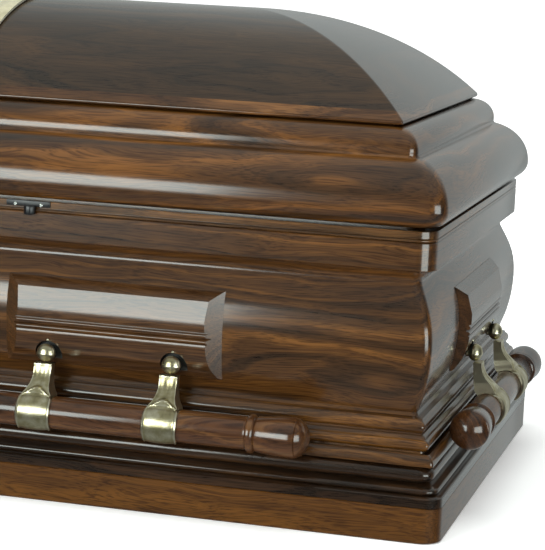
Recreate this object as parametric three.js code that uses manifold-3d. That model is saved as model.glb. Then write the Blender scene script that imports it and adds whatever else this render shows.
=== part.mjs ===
// A half-couch wooden casket: a bulged, moulded body on a plinth, two hinged lids with domed crowns,
// applied moulded blocks, and a swinging bar handle on each side and each end.
// Millimetres. +X points to the foot end, -Y to the front, +Z up. The origin is at the middle of the underside.

import * as THREE from 'three';
import { mergeVertices } from 'three/addons/utils/BufferGeometryUtils.js';
import Module from 'manifold-3d';

const wasm = await Module();
wasm.setup();

// Driving dimensions. Offsets are measured outwards from the plinth's face.
const CASKET_LENGTH = 2100; // the plinth, end to end
const CASKET_WIDTH = 720; // the plinth, front to back
const PLINTH_HEIGHT = 44;
const BASE_TOP = 92; // top of the moulding that the body stands in
const FRIEZE_BOTTOM = 327;
const FRIEZE_TOP = 361;
const FRIEZE_OFFSET = -29;
const RIM_TOP = 374.5;
const LID_BOTTOM = 377.5;
const CROWN_EDGE_HEIGHT = 499.5;
const CROWN_EDGE_OFFSET = -88;
const CROWN_APEX_HEIGHT = 615.5;
const CROWN_THICKNESS = 14;
const INNER_WALL_OFFSET = -64;
const PLINTH_INNER_OFFSET = -30;
const BOTTOM_BOARD_THICKNESS = 18;
const TOUCH_GAP = 0.3; // between solids that touch in the real object
const LID_SPLIT_GAP = 2.4; // between the two lids at mid length
const HEADER_THICKNESS = 18;

const BLOCK_LENGTH = 283;
const BLOCK_SPACING = 622; // between the blocks of a long side
const BLOCK_BEVEL = 1.5; // how far a block's end runs back for each millimetre that it stands proud
const RECESS_RADIUS = 17.5;
const ARM_SPACING = 164; // between the two arms of a block
const BAR_RADIUS = 20.5;
const BAR_OFFSET = 10;
const BAR_HEIGHT = 117;
const SIDE_BAR_TIP_REACH = 185; // from the outermost arm to the bar's end
const END_BAR_TIP_REACH = 168;
const PIVOT_OFFSET = -9;
const PIVOT_HEIGHT = 183;
const LUG_WIDTH = 24;
const TONGUE_WIDTH = 7;

const HINGE_OFFSET = -24.5;
const HINGE_HEIGHT = 376.5;
const HINGE_FROM = 60;
const HINGE_TO = 960;
const CATCH_X = 505;
const CATCH_LENGTH = 58;
const CATCH_HEIGHT = 7.5;
const THROW_FROM = 5;
const THROW_TO = 392;
const THROW_HALF_WIDTH = 236;
const THROW_THICKNESS = 6;

// Worked out from them
const HALF_LENGTH = CASKET_LENGTH / 2;
const HALF_WIDTH = CASKET_WIDTH / 2;
const SPLIT_X = LID_SPLIT_GAP / 2;
const CROWN_HALF_WIDTH = HALF_WIDTH + CROWN_EDGE_OFFSET;
const CROWN_RISE = CROWN_APEX_HEIGHT - CROWN_EDGE_HEIGHT;
const CROWN_RADIUS = (CROWN_HALF_WIDTH ** 2 + CROWN_RISE ** 2) / (2 * CROWN_RISE);
const CROWN_CENTRE_HEIGHT = CROWN_APEX_HEIGHT - CROWN_RADIUS;
const FRIEZE_FACE_Y = -(HALF_WIDTH + FRIEZE_OFFSET);

const CORNER_STEPS = 2; // flats on a rounded corner in plan
const CROWN_STEPS = 12;
const ROUND_SIDES = 12;
const BAR_SIDES = 10;

function finish(colour, roughness, metalness = 0) {
  return new THREE.MeshStandardMaterial({ color: colour, roughness, metalness });
}

const bodyWalnut = finish(0x5a3a20, 0.28);
const lidWalnut = finish(0x4c3019, 0.25);
const baseWalnut = finish(0x3b2514, 0.3);
const plinthWood = finish(0x6b4420, 0.42);
const innerWood = finish(0x8a6a46, 0.6);
const barWood = finish(0x5a2f1a, 0.28);
const brass = finish(0x9a9060, 0.3, 1);
const blackMetal = finish(0x15171a, 0.4, 1);
const velvet = finish(0xd9cfb8, 0.95);

// Building solids

// A closed body from corner points and triangles: doubled corners are merged, empty triangles dropped,
// and the whole turned the right way out if its volume comes out negative.
function closedBody(corners, triangles) {
  const loose = new THREE.BufferGeometry();
  loose.setAttribute('position', new THREE.Float32BufferAttribute(corners.flat(), 3));
  loose.setIndex(triangles.flat());
  const merged = mergeVertices(loose, 1e-3);
  const index = merged.index.array;
  const kept = [];
  for (let i = 0; i < index.length; i += 3) {
    const [a, b, c] = [index[i], index[i + 1], index[i + 2]];
    if (a !== b && b !== c && c !== a) kept.push([a, b, c]);
  }
  const at = (i) => new THREE.Vector3().fromBufferAttribute(merged.attributes.position, i);
  const volume = kept.reduce((sum, [a, b, c]) => sum + at(a).dot(at(b).cross(at(c))), 0);
  merged.setIndex(kept.flatMap(([a, b, c]) => (volume < 0 ? [a, c, b] : [a, b, c])));
  return merged;
}

// The same body with each of its points moved.
function reshaped(geometry, move) {
  const flat = geometry.index ? geometry.toNonIndexed() : geometry;
  const { position } = flat.attributes;
  const corners = [];
  const triangles = [];
  for (let i = 0; i < position.count; i += 1) {
    corners.push(move(position.getX(i), position.getY(i), position.getZ(i)));
    if (i % 3 === 2) triangles.push([i - 2, i - 1, i]);
  }
  return closedBody(corners, triangles);
}

function toManifold(geometry) {
  const bare = geometry.clone();
  bare.deleteAttribute('normal');
  bare.deleteAttribute('uv');
  const merged = mergeVertices(bare, 1e-3);
  return new wasm.Manifold(
    new wasm.Mesh({
      numProp: 3,
      vertProperties: new Float32Array(merged.attributes.position.array),
      triVerts: new Uint32Array(merged.index.array),
    }),
  );
}

function fromManifold(manifold) {
  const mesh = manifold.getMesh();
  const geometry = new THREE.BufferGeometry();
  geometry.setAttribute('position', new THREE.Float32BufferAttribute(mesh.vertProperties, 3));
  geometry.setIndex(Array.from(mesh.triVerts));
  return geometry;
}

function cutFrom(geometry, cutters) {
  const cut = cutters.reduce((rest, cutter) => rest.subtract(toManifold(cutter)), toManifold(geometry));
  return fromManifold(cut);
}

function joined(geometries) {
  return fromManifold(geometries.map(toManifold).reduce((all, one) => all.add(one)));
}

function boxBetween(low, high) {
  const size = high.map((value, i) => value - low[i]);
  const box = new THREE.BoxGeometry(...size);
  box.translate(...high.map((value, i) => (value + low[i]) / 2));
  return box;
}

// Points on an arc in a profile, angles in degrees from straight outwards.
function arcPoints([offset, height], radius, fromAngle, toAngle, steps, corner = 0) {
  const points = [];
  for (let i = 0; i <= steps; i += 1) {
    const angle = THREE.MathUtils.degToRad(fromAngle + ((toAngle - fromAngle) * i) / steps);
    points.push([offset + radius * Math.cos(angle), height + radius * Math.sin(angle), corner]);
  }
  return points;
}

// A side outline of [offset, height] points, as wide as widthAt says at each height and offset.
// It stands along X, with its outward side towards -Y and the plinth's face at Y = 0.
function sideShape(outline, widthAt) {
  const shape = new THREE.Shape(outline.map(([offset, height]) => new THREE.Vector2(offset, height)));
  const slab = new THREE.ExtrudeGeometry(shape, { depth: 1, bevelEnabled: false });
  return reshaped(slab, (offset, height, along) => [
    (along - 0.5) * widthAt(height, offset),
    -offset,
    height,
  ]);
}

// A value read off a list of [height, value] pairs, straight between them.
function readOff(table, height) {
  if (height <= table[0][0]) return table[0][1];
  const next = table.findIndex(([z]) => z >= height);
  if (next < 0) return table[table.length - 1][1];
  const [[heightA, valueA], [heightB, valueB]] = [table[next - 1], table[next]];
  return valueA + ((valueB - valueA) * (height - heightA)) / (heightB - heightA);
}

// Mouldings that run round the casket's plan

// One corner of the plan at an offset, rounded by a radius. The signs say which corner.
function planCorner(offset, radius, signX, signY, startAngle) {
  const points = [];
  for (let i = 0; i <= CORNER_STEPS; i += 1) {
    const angle = THREE.MathUtils.degToRad(startAngle + (90 * i) / CORNER_STEPS);
    points.push([
      signX * (HALF_LENGTH + offset - radius) + radius * Math.cos(angle),
      signY * (HALF_WIDTH + offset - radius) + radius * Math.sin(angle),
    ]);
  }
  return points;
}

function wholePlan(offset, radius) {
  return [
    ...planCorner(offset, radius, 1, -1, -90),
    ...planCorner(offset, radius, 1, 1, 0),
    ...planCorner(offset, radius, -1, 1, 90),
    ...planCorner(offset, radius, -1, -1, 180),
  ];
}

function footLidPlan(offset, radius) {
  return [
    [SPLIT_X, -(HALF_WIDTH + offset)],
    ...planCorner(offset, radius, 1, -1, -90),
    ...planCorner(offset, radius, 1, 1, 0),
    [SPLIT_X, HALF_WIDTH + offset],
  ];
}

// A profile of [offset, height, corner radius] points taken round a plan, mitred or rounded at its corners.
// A ring closes on itself. What isn't a ring is capped at its two ends, and a vault's halves meet at its ridge.
function moulding(profile, plan, { ring = true, vault = false } = {}) {
  const rows = profile.map(([offset, height, radius = 0]) =>
    plan(offset, radius).map(([x, y]) => [x, y, height]),
  );
  const across = rows[0].length;
  const at = (row, column) => row * across + (column % across);
  const triangles = [];
  for (let row = 0; row < (vault ? rows.length - 1 : rows.length); row += 1) {
    const next = (row + 1) % rows.length;
    for (let column = 0; column < (ring ? across : across - 1); column += 1) {
      triangles.push([at(row, column), at(row, column + 1), at(next, column + 1)]);
      triangles.push([at(row, column), at(next, column + 1), at(next, column)]);
    }
  }
  if (!ring) {
    const outline = profile.map(([offset, height]) => new THREE.Vector2(offset, height));
    const clockwise = THREE.ShapeUtils.isClockWise(outline);
    for (const face of THREE.ShapeUtils.triangulateShape(outline.slice(), [])) {
      const sameWay = THREE.ShapeUtils.isClockWise(face.map((i) => outline[i])) === clockwise;
      const [a, b, c] = sameWay ? face : [face[0], face[2], face[1]];
      triangles.push([at(a, 0), at(b, 0), at(c, 0)]);
      triangles.push([at(a, across - 1), at(c, across - 1), at(b, across - 1)]);
    }
  }
  return closedBody(rows.flat(), triangles);
}

// Casket body

// The bulged face of the body from its waist up to the neck under the frieze: height and offset.
const BULGE = [
  [152, -42],
  [165, -38],
  [180, -33],
  [198, -29],
  [218, -26.8],
  [236, -26.3],
  [254, -28],
  [271, -32],
  [286, -37.5],
  [298, -42.5],
  [305.5, -46.5],
];

function plinth() {
  const corner = 20;
  return moulding(
    [
      [PLINTH_INNER_OFFSET, 0],
      [0, 0, corner],
      [0, PLINTH_HEIGHT, corner],
      [PLINTH_INNER_OFFSET, PLINTH_HEIGHT],
    ],
    wholePlan,
  );
}

function baseMoulding() {
  const bottom = PLINTH_HEIGHT + TOUCH_GAP;
  return moulding(
    [
      [PLINTH_INNER_OFFSET, bottom],
      [0, bottom, 20],
      [0, 54, 20],
      [-3, 57.5, 18],
      [-8, 59, 15],
      [-7.5, 64, 15],
      [-10, 67.5, 14],
      [-14.5, 69, 12],
      ...arcPoints([-24, 80], 11, -55, 85, 5, 12),
      [PLINTH_INNER_OFFSET, BASE_TOP - TOUCH_GAP],
    ],
    wholePlan,
  );
}

function bottomBoard() {
  const edge = PLINTH_INNER_OFFSET - TOUCH_GAP;
  const [x, y] = [HALF_LENGTH + edge, HALF_WIDTH + edge];
  return boxBetween([-x, -y, 0], [x, y, BOTTOM_BOARD_THICKNESS]);
}

// The four walls: three stepped rounds above the base, the waist, the bulge, the neck and the flat frieze.
function bodyShell() {
  const standing = BOTTOM_BOARD_THICKNESS + TOUCH_GAP;
  const footOffset = PLINTH_INNER_OFFSET - TOUCH_GAP;
  return moulding(
    [
      [INNER_WALL_OFFSET, standing],
      [footOffset, standing],
      [footOffset, BASE_TOP],
      [-13.5, BASE_TOP, 4],
      [-19, 93.4, 3],
      [-23.2, 97, 3],
      [-25.5, 101, 3],
      [-28.4, 105.5, 2],
      [-27.6, 108.5, 2],
      [-22, 114, 3],
      [-21.6, 117.5, 3],
      [-23.5, 122.5, 3],
      [-27, 126.5, 3],
      [-31.5, 128.8, 2],
      [-30, 133.5, 3],
      [-29, 136.5, 3],
      [-30.3, 141, 3],
      [-33, 145.5, 3],
      [-37, 149.5, 3],
      ...BULGE.map(([height, offset]) => [offset, height, height > 170 && height < 300 ? 8 : 3]),
      [-47.3, 309.5, 3],
      [-45.5, 314, 4],
      [-40.5, 319, 6],
      [-34, 323.5, 8],
      [FRIEZE_OFFSET, FRIEZE_BOTTOM, 11],
      [FRIEZE_OFFSET, FRIEZE_TOP - 1.5, 11],
      [FRIEZE_OFFSET - 1.5, FRIEZE_TOP, 10],
      [INNER_WALL_OFFSET, FRIEZE_TOP],
    ],
    wholePlan,
  );
}

function catchNotch(x) {
  return boxBetween(
    [x - CATCH_LENGTH / 2 - TOUCH_GAP, FRIEZE_FACE_Y - 5, RIM_TOP - CATCH_HEIGHT - TOUCH_GAP],
    [x + CATCH_LENGTH / 2 + TOUCH_GAP, FRIEZE_FACE_Y + 4 + TOUCH_GAP, RIM_TOP + 1],
  );
}

function rimRail() {
  const bottom = FRIEZE_TOP + TOUCH_GAP;
  const tongueTop = LID_BOTTOM - TOUCH_GAP;
  const tongueOffset = -48;
  const rail = moulding(
    [
      [INNER_WALL_OFFSET, bottom],
      [FRIEZE_OFFSET - 1, bottom, 10],
      [FRIEZE_OFFSET + 0.6, bottom + 1.6, 11],
      [FRIEZE_OFFSET + 0.6, RIM_TOP - 1, 11],
      [FRIEZE_OFFSET - 0.5, RIM_TOP, 10],
      [tongueOffset, RIM_TOP],
      [tongueOffset, tongueTop],
      [INNER_WALL_OFFSET, tongueTop],
    ],
    wholePlan,
  );
  return cutFrom(rail, [catchNotch(CATCH_X), catchNotch(-CATCH_X)]);
}

// A plate let into the rim's front edge, with a round turn button on its lower edge.
function catchPiece(x) {
  const plateFront = FRIEZE_FACE_Y - 2;
  const plate = boxBetween(
    [x - CATCH_LENGTH / 2, plateFront, RIM_TOP - CATCH_HEIGHT],
    [x + CATCH_LENGTH / 2, FRIEZE_FACE_Y + 4, RIM_TOP],
  );
  const button = new THREE.CylinderGeometry(9, 7.5, 11, ROUND_SIDES);
  button.translate(x + 9, plateFront - 4.4, 364);
  return joined([plate, button]);
}

// A knuckle tube along the back seam, with the leaf that holds it to the body.
function hinge() {
  const y = HALF_WIDTH + HINGE_OFFSET;
  const leafFace = HALF_WIDTH + FRIEZE_OFFSET + 0.9;
  const knuckle = new THREE.CylinderGeometry(3.5, 3.5, HINGE_TO - HINGE_FROM, 8);
  knuckle.rotateZ(Math.PI / 2);
  knuckle.translate((HINGE_FROM + HINGE_TO) / 2, y, HINGE_HEIGHT);
  const leaf = boxBetween(
    [HINGE_FROM + 1, leafFace, HINGE_HEIGHT - 24],
    [HINGE_TO - 1, leafFace + 1.5, HINGE_HEIGHT - 0.5],
  );
  return joined([knuckle, leaf]);
}

// Lids, made for the foot end and turned half round for the head end

const LID_INNER = [
  [-112, 494.2],
  [-112, 478],
  [-66, 438],
  [INNER_WALL_OFFSET, 434],
];

function lidRail() {
  const torusCorner = 16;
  return moulding(
    [
      [INNER_WALL_OFFSET, LID_BOTTOM],
      ...arcPoints([-38, LID_BOTTOM + 22], 22, -90, 0, 4, torusCorner),
      ...arcPoints([-76, LID_BOTTOM + 22], 60, 12.5, 76.5, 5, torusCorner),
      ...arcPoints([-93, 463.5], 29, -8, 90, 5, 9),
      [-98, 492.5, 4],
      [-98, 494.2, 4],
      ...LID_INNER,
    ],
    footLidPlan,
    { ring: false },
  );
}

function crownHeight(halfWidth, radius = CROWN_RADIUS) {
  return CROWN_CENTRE_HEIGHT + Math.sqrt(radius ** 2 - halfWidth ** 2);
}

// How far each strip of a crown reaches from its ridge, as shares of its half width.
function crownShares() {
  return Array.from({ length: CROWN_STEPS + 1 }, (_, i) => {
    const share = i / CROWN_STEPS;
    return 0.65 * share + 0.35 * Math.sin((share * Math.PI) / 2);
  });
}

// The domed panel: the same arc over the width and over the end, mitred along the hips.
function crown() {
  const innerRadius = CROWN_RADIUS - CROWN_THICKNESS;
  const bottom = LID_INNER[0][1] + TOUCH_GAP;
  const innerHalfWidth = Math.sqrt(innerRadius ** 2 - (bottom - CROWN_CENTRE_HEIGHT) ** 2);
  const outer = [];
  const inner = [];
  for (const share of crownShares()) {
    const outerWidth = CROWN_HALF_WIDTH * share;
    const innerWidth = innerHalfWidth * share;
    outer.push([outerWidth - HALF_WIDTH, crownHeight(outerWidth)]);
    inner.unshift([innerWidth - HALF_WIDTH, crownHeight(innerWidth, innerRadius)]);
  }
  const underEdge = [CROWN_EDGE_OFFSET - 3.5, bottom];
  return moulding([...outer, underEdge, ...inner], footLidPlan, { ring: false, vault: true });
}

// The board that closes a lid at mid length, under the crown and between the rails.
function lidHeader() {
  const clear = TOUCH_GAP + 0.1;
  const steps = 12;
  const innerRadius = CROWN_RADIUS - CROWN_THICKNESS - TOUCH_GAP;
  const right = [[HALF_WIDTH + INNER_WALL_OFFSET - TOUCH_GAP, LID_BOTTOM + TOUCH_GAP]];
  for (const [offset, height] of [LID_INNER[3], LID_INNER[2], LID_INNER[1]]) {
    right.push([HALF_WIDTH + offset - clear, height - clear]);
  }
  const shoulder = right[right.length - 1][0];
  for (let i = 0; i < steps; i += 1) {
    const width = shoulder * (1 - i / steps);
    right.push([width, crownHeight(width, innerRadius)]);
  }
  const left = right.map(([y, z]) => [-y, z]).reverse();
  const ridge = [0, crownHeight(0, innerRadius)];
  const shape = new THREE.Shape([...right, ridge, ...left].map(([y, z]) => new THREE.Vector2(y, z)));
  const slab = new THREE.ExtrudeGeometry(shape, { depth: HEADER_THICKNESS, bevelEnabled: false });
  return reshaped(slab, (y, z, along) => [SPLIT_X + TOUCH_GAP + along, y, z]);
}

// A throw laid across the foot lid's crown from mid length, with rounded foot corners.
function throwCloth() {
  const cornerRadius = 70;
  const strips = crownShares().map((share) => CROWN_HALF_WIDTH * share);
  const surface = strips.map((width) => [width, crownHeight(width)]);
  const covered = [...strips.filter((width) => width < THROW_HALF_WIDTH - 1), THROW_HALF_WIDTH];
  const across = [...covered.slice(1).map((width) => -width).reverse(), ...covered];
  const corners = across.flatMap((y) => {
    const under = readOff(surface, Math.abs(y)) + TOUCH_GAP + 0.2;
    const intoCorner = Math.max(0, Math.abs(y) - (THROW_HALF_WIDTH - cornerRadius));
    const foot = THROW_TO - (cornerRadius - Math.sqrt(cornerRadius ** 2 - intoCorner ** 2));
    const over = under + THROW_THICKNESS;
    return [[THROW_FROM, y, over], [foot, y, over], [foot, y, under], [THROW_FROM, y, under]];
  });
  const triangles = [];
  for (let i = 0; i < across.length - 1; i += 1) {
    for (let edge = 0; edge < 4; edge += 1) {
      const [a, b] = [i * 4 + edge, i * 4 + ((edge + 1) % 4)];
      triangles.push([a, b, b + 4], [a, b + 4, a + 4]);
    }
  }
  const last = corners.length - 4;
  triangles.push([0, 2, 1], [0, 3, 2], [last, last + 1, last + 2], [last, last + 2, last + 3]);
  return closedBody(corners, triangles);
}

// Hardware of the sides and ends. Each piece is made along X, with its outward side towards -Y
// and the plinth's face at Y = 0, and is then carried to its side.

// The face of an applied block, from its lower edge over the lower round, the reeds and the sloping face.
const BLOCK_FACE = [
  [170.5, -34.3],
  [172, -31],
  [178, -26.5],
  [186, -21.5],
  [196, -18],
  [206, -15.8],
  [213, -15],
  [215.3, -16.4],
  [217.6, -14.6],
  [222.5, -18.6],
  [226.5, -14],
  [228.7, -15.4],
  [231, -13.2],
  [244, -13.2],
  [247.5, -14.2],
  [267.5, -22.5],
  [280.5, -34.2],
];

function block() {
  const [[bottom], [top]] = [BLOCK_FACE[0], BLOCK_FACE[BLOCK_FACE.length - 1]];
  const backAt = (height) => readOff(BULGE, height) + TOUCH_GAP;
  const backHeights = BULGE.map(([height]) => height).filter((height) => height > bottom && height < top);
  const outline = [
    ...BLOCK_FACE.map(([height, offset]) => [offset, height]),
    ...[bottom, ...backHeights, top].reverse().map((height) => [backAt(height), height]),
  ];
  const proud = (height, offset) => Math.max(0, offset - backAt(height));
  const body = sideShape(outline, (height, offset) => BLOCK_LENGTH - 2 * BLOCK_BEVEL * proud(height, offset));
  const recesses = [-ARM_SPACING / 2, ARM_SPACING / 2].map((x) => {
    const recess = new THREE.CylinderGeometry(RECESS_RADIUS, RECESS_RADIUS, 60, ROUND_SIDES);
    recess.translate(x, 30, PIVOT_HEIGHT + 1);
    return recess;
  });
  return cutFrom(body, recesses);
}

// The fixed lug in a block's recess, with the slot that holds an arm's tongue.
function lug() {
  const outline = [
    [-29.1, 176],
    [-9, 175.5],
    [-4.5, 177],
    [-1.9, 180.5],
    [-1.9, 185.5],
    [-4, 190],
    [-10, 194.2],
    [-20, 195.2],
    [-29.1, 194.5],
  ];
  const slotHalf = TONGUE_WIDTH / 2 + TOUCH_GAP;
  const slot = boxBetween([-slotHalf, -10, 170], [slotHalf, -(PIVOT_OFFSET - 4.2), PIVOT_HEIGHT + 4.2]);
  return cutFrom(
    sideShape(outline, () => LUG_WIDTH),
    [slot],
  );
}

// An arm: a tongue in the lug, a strap that flares to a saddle, and the saddle round the bar's outer side.
const STRAP_TOP = 174.9;
const ARM_WIDTHS = [
  [133, 43],
  [139, 40],
  [150, 25],
  [166, 22],
  [STRAP_TOP, 23],
];

function arm() {
  const bar = [BAR_OFFSET, BAR_HEIGHT];
  const cradleSteps = 7;
  const halfStep = THREE.MathUtils.degToRad(98 / cradleSteps);
  const cradleRadius = (BAR_RADIUS + TOUCH_GAP) / Math.cos(halfStep);
  const tongueHalf = TONGUE_WIDTH / 2;
  const tongue = [
    ...arcPoints([PIVOT_OFFSET, PIVOT_HEIGHT], tongueHalf, 180, 0, 2),
    [PIVOT_OFFSET + tongueHalf, STRAP_TOP - 3],
    [PIVOT_OFFSET - tongueHalf, STRAP_TOP - 3],
  ];
  const strap = [
    [-4, STRAP_TOP],
    [-2.5, 166],
    [4, 156.5],
    [13, 150],
    ...arcPoints(bar, 25, 62, -68, 5),
    ...arcPoints(bar, cradleRadius, -68, 128, cradleSteps),
    [-8, 139],
    [-10.5, 150],
    [-12.5, STRAP_TOP],
  ];
  return joined([
    sideShape(tongue, () => TONGUE_WIDTH),
    sideShape(strap, (height) => readOff(ARM_WIDTHS, height)),
  ]);
}

// A turned bar with a bead and a flared, domed tip at each end: distance from the end, and radius.
const BAR_TIP = [
  [0, 0],
  [3, 13],
  [14, 24.6],
  [20, 25.5],
  [66, 22],
  [70, 23.6],
  [76, 23.6],
  [80, BAR_RADIUS],
];

function bar(halfLength) {
  const left = BAR_TIP.map(([distance, radius]) => new THREE.Vector2(radius, distance - halfLength));
  const right = BAR_TIP.map(([distance, radius]) => new THREE.Vector2(radius, halfLength - distance));
  const turned = new THREE.LatheGeometry([...left, ...right.reverse()], BAR_SIDES);
  return reshaped(turned, (x, y, z) => [y, z - BAR_OFFSET, x + BAR_HEIGHT]);
}

// Putting the casket together

const casket = new THREE.Group();

function add(parent, name, geometry, material) {
  const mesh = new THREE.Mesh(geometry, material);
  mesh.name = name;
  parent.add(mesh);
  return mesh;
}

add(casket, 'plinth', plinth(), plinthWood);
add(casket, 'base_moulding', baseMoulding(), baseWalnut);
add(casket, 'bottom_board', bottomBoard(), innerWood);
add(casket, 'body_shell', bodyShell(), bodyWalnut);
add(casket, 'rim_rail', rimRail(), bodyWalnut);
add(casket, 'foot_catch', catchPiece(CATCH_X), blackMetal);
add(casket, 'head_catch', catchPiece(-CATCH_X), blackMetal);
add(casket, 'foot_hinge', hinge(), brass);
add(casket, 'head_hinge', hinge(), brass).position.x = -(HINGE_FROM + HINGE_TO);

const footLid = new THREE.Group();
const headLid = new THREE.Group();
headLid.rotation.z = Math.PI;
casket.add(footLid, headLid);
for (const [lidName, lid] of [['foot', footLid], ['head', headLid]]) {
  add(lid, `${lidName}_lid_rail`, lidRail(), lidWalnut);
  add(lid, `${lidName}_lid_crown`, crown(), lidWalnut);
  add(lid, `${lidName}_lid_header`, lidHeader(), innerWood);
}
add(footLid, 'throw', throwCloth(), velvet);

// A group that carries pieces made along X to one side of the casket.
function side(turn, reach) {
  const group = new THREE.Group();
  group.rotation.z = turn;
  group.position.set(reach * Math.sin(turn), -reach * Math.cos(turn), 0);
  casket.add(group);
  return group;
}

const blockSolid = block();
const lugSolid = lug();
const armSolid = arm();

function fitHandle(parent, name, blockCentres, tipReach) {
  const armCentres = blockCentres.flatMap((x) => [x - ARM_SPACING / 2, x + ARM_SPACING / 2]);
  blockCentres.forEach((x, i) => {
    const label = blockCentres.length > 1 ? `${name}_block_${i + 1}` : `${name}_block`;
    add(parent, label, blockSolid, bodyWalnut).position.x = x;
  });
  armCentres.forEach((x, i) => {
    add(parent, `${name}_lug_${i + 1}`, lugSolid, brass).position.x = x;
    add(parent, `${name}_arm_${i + 1}`, armSolid, brass).position.x = x;
  });
  add(parent, `${name}_bar`, bar(armCentres[armCentres.length - 1] + tipReach), barWood);
}

const longSideBlocks = [-BLOCK_SPACING, 0, BLOCK_SPACING];
fitHandle(side(0, HALF_WIDTH), 'front', longSideBlocks, SIDE_BAR_TIP_REACH);
fitHandle(side(Math.PI, HALF_WIDTH), 'back', longSideBlocks, SIDE_BAR_TIP_REACH);
fitHandle(side(Math.PI / 2, HALF_LENGTH), 'foot_end', [0], END_BAR_TIP_REACH);
fitHandle(side(-Math.PI / 2, HALF_LENGTH), 'head_end', [0], END_BAR_TIP_REACH);

export default casket;
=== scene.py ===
import math

import bpy
from mathutils import Matrix, Vector


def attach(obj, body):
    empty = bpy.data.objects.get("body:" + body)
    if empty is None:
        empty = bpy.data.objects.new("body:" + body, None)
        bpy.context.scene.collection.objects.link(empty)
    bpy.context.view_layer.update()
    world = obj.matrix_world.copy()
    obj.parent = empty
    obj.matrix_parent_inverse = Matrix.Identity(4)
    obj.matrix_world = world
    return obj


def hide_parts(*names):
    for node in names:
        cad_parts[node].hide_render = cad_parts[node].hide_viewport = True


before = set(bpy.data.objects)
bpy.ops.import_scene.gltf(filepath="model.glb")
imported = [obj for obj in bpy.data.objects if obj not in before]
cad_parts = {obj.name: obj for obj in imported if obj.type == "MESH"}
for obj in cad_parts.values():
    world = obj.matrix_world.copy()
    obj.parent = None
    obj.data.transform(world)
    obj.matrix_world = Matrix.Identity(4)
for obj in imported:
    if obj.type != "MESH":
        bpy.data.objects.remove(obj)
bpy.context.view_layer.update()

# The casket is photographed from in front of its foot half, a little above its lid, with a long
# lens that takes in the foot end face at a grazing angle.
LENS_MM = 142.85
CAMERA_PLACE = Vector((1.4795, -2.8679, 0.7301))
CAMERA_YAW = 0.2532
CAMERA_PITCH = 0.1600
CAMERA_ROLL = 0.0461
bpy.ops.object.select_all(action="DESELECT")
bpy.ops.object.camera_add()
camera = bpy.context.object
camera.name = "camera"
camera.data.lens = LENS_MM
camera.data.clip_end = 100
camera.matrix_world = (
    Matrix.Translation(CAMERA_PLACE)
    @ Matrix.Rotation(CAMERA_YAW, 4, "Z")
    @ Matrix.Rotation(math.pi / 2 - CAMERA_PITCH, 4, "X")
    @ Matrix.Rotation(CAMERA_ROLL, 4, "Z")
)
bpy.context.scene.camera = camera
bpy.context.scene.view_settings.view_transform = "Standard"


def linear(hex_colour):
    """A colour written as sRGB hex, as the linear values that the shaders take."""
    channels = [int(hex_colour[i : i + 2], 16) / 255 for i in (1, 3, 5)]
    return [*(c / 12.92 if c <= 0.04045 else ((c + 0.055) / 1.055) ** 2.4 for c in channels), 1]


def add_node(tree, kind, settings=(), values=(), links=()):
    """Adds a shader node, with its settings, the values of its sockets, and what feeds them."""
    made = tree.nodes.new(kind)
    for name, setting in dict(settings).items():
        setattr(made, name, setting)
    for socket, value in dict(values).items():
        made.inputs[socket].default_value = value
    for socket, source in dict(links).items():
        tree.links.new(source, made.inputs[socket])
    return made


def blank_material(name):
    """A material with an empty tree and its output node."""
    material = bpy.data.materials.new(name)
    material.use_nodes = True
    material.node_tree.nodes.clear()
    return material, material.node_tree, material.node_tree.nodes.new("ShaderNodeOutputMaterial")


# The studio is a pale sweep of seamless paper in a dark room with a pale ceiling. A wide soft box
# stands in front on the left, whose light the lacquer mirrors as long streaks. The wall behind is
# grey, and the end face mirrors it at a grazing angle.
PAPER_SIZE = 60
PAPER_LEVEL = -0.0003
bpy.ops.mesh.primitive_plane_add(size=PAPER_SIZE, location=(0, 0, PAPER_LEVEL))
floor = bpy.context.object
floor.name = "floor"
floor.visible_glossy = False
paper, tree, output = blank_material("seamless_paper")
matt = add_node(tree, "ShaderNodeBsdfDiffuse", {}, {"Color": linear("#fbf5f6")})
# The paper also glows by itself, which is painted light: faintly beside the casket and almost white from
# 2.6 m off. This whitens the floor and pales the casket's shadow on it.
place = add_node(tree, "ShaderNodeTexCoord")
away = add_node(
    tree, "ShaderNodeVectorMath", {"operation": "LENGTH"}, {}, {0: place.outputs["Object"]}
)
painted_floor_glow = add_node(
    tree,
    "ShaderNodeMapRange",
    {"interpolation_type": "SMOOTHSTEP"},
    {"From Min": 1.0, "From Max": 2.6, "To Min": 0.25, "To Max": 0.95},
    {"Value": away.outputs["Value"]},
)
glow = add_node(
    tree, "ShaderNodeEmission", {}, {"Color": linear("#ffffff")}, {"Strength": painted_floor_glow.outputs[0]}
)
sweep = add_node(tree, "ShaderNodeAddShader", {}, {}, {0: matt.outputs[0], 1: glow.outputs[0]})
tree.links.new(sweep.outputs[0], output.inputs["Surface"])
floor.data.materials.append(paper)

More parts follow.
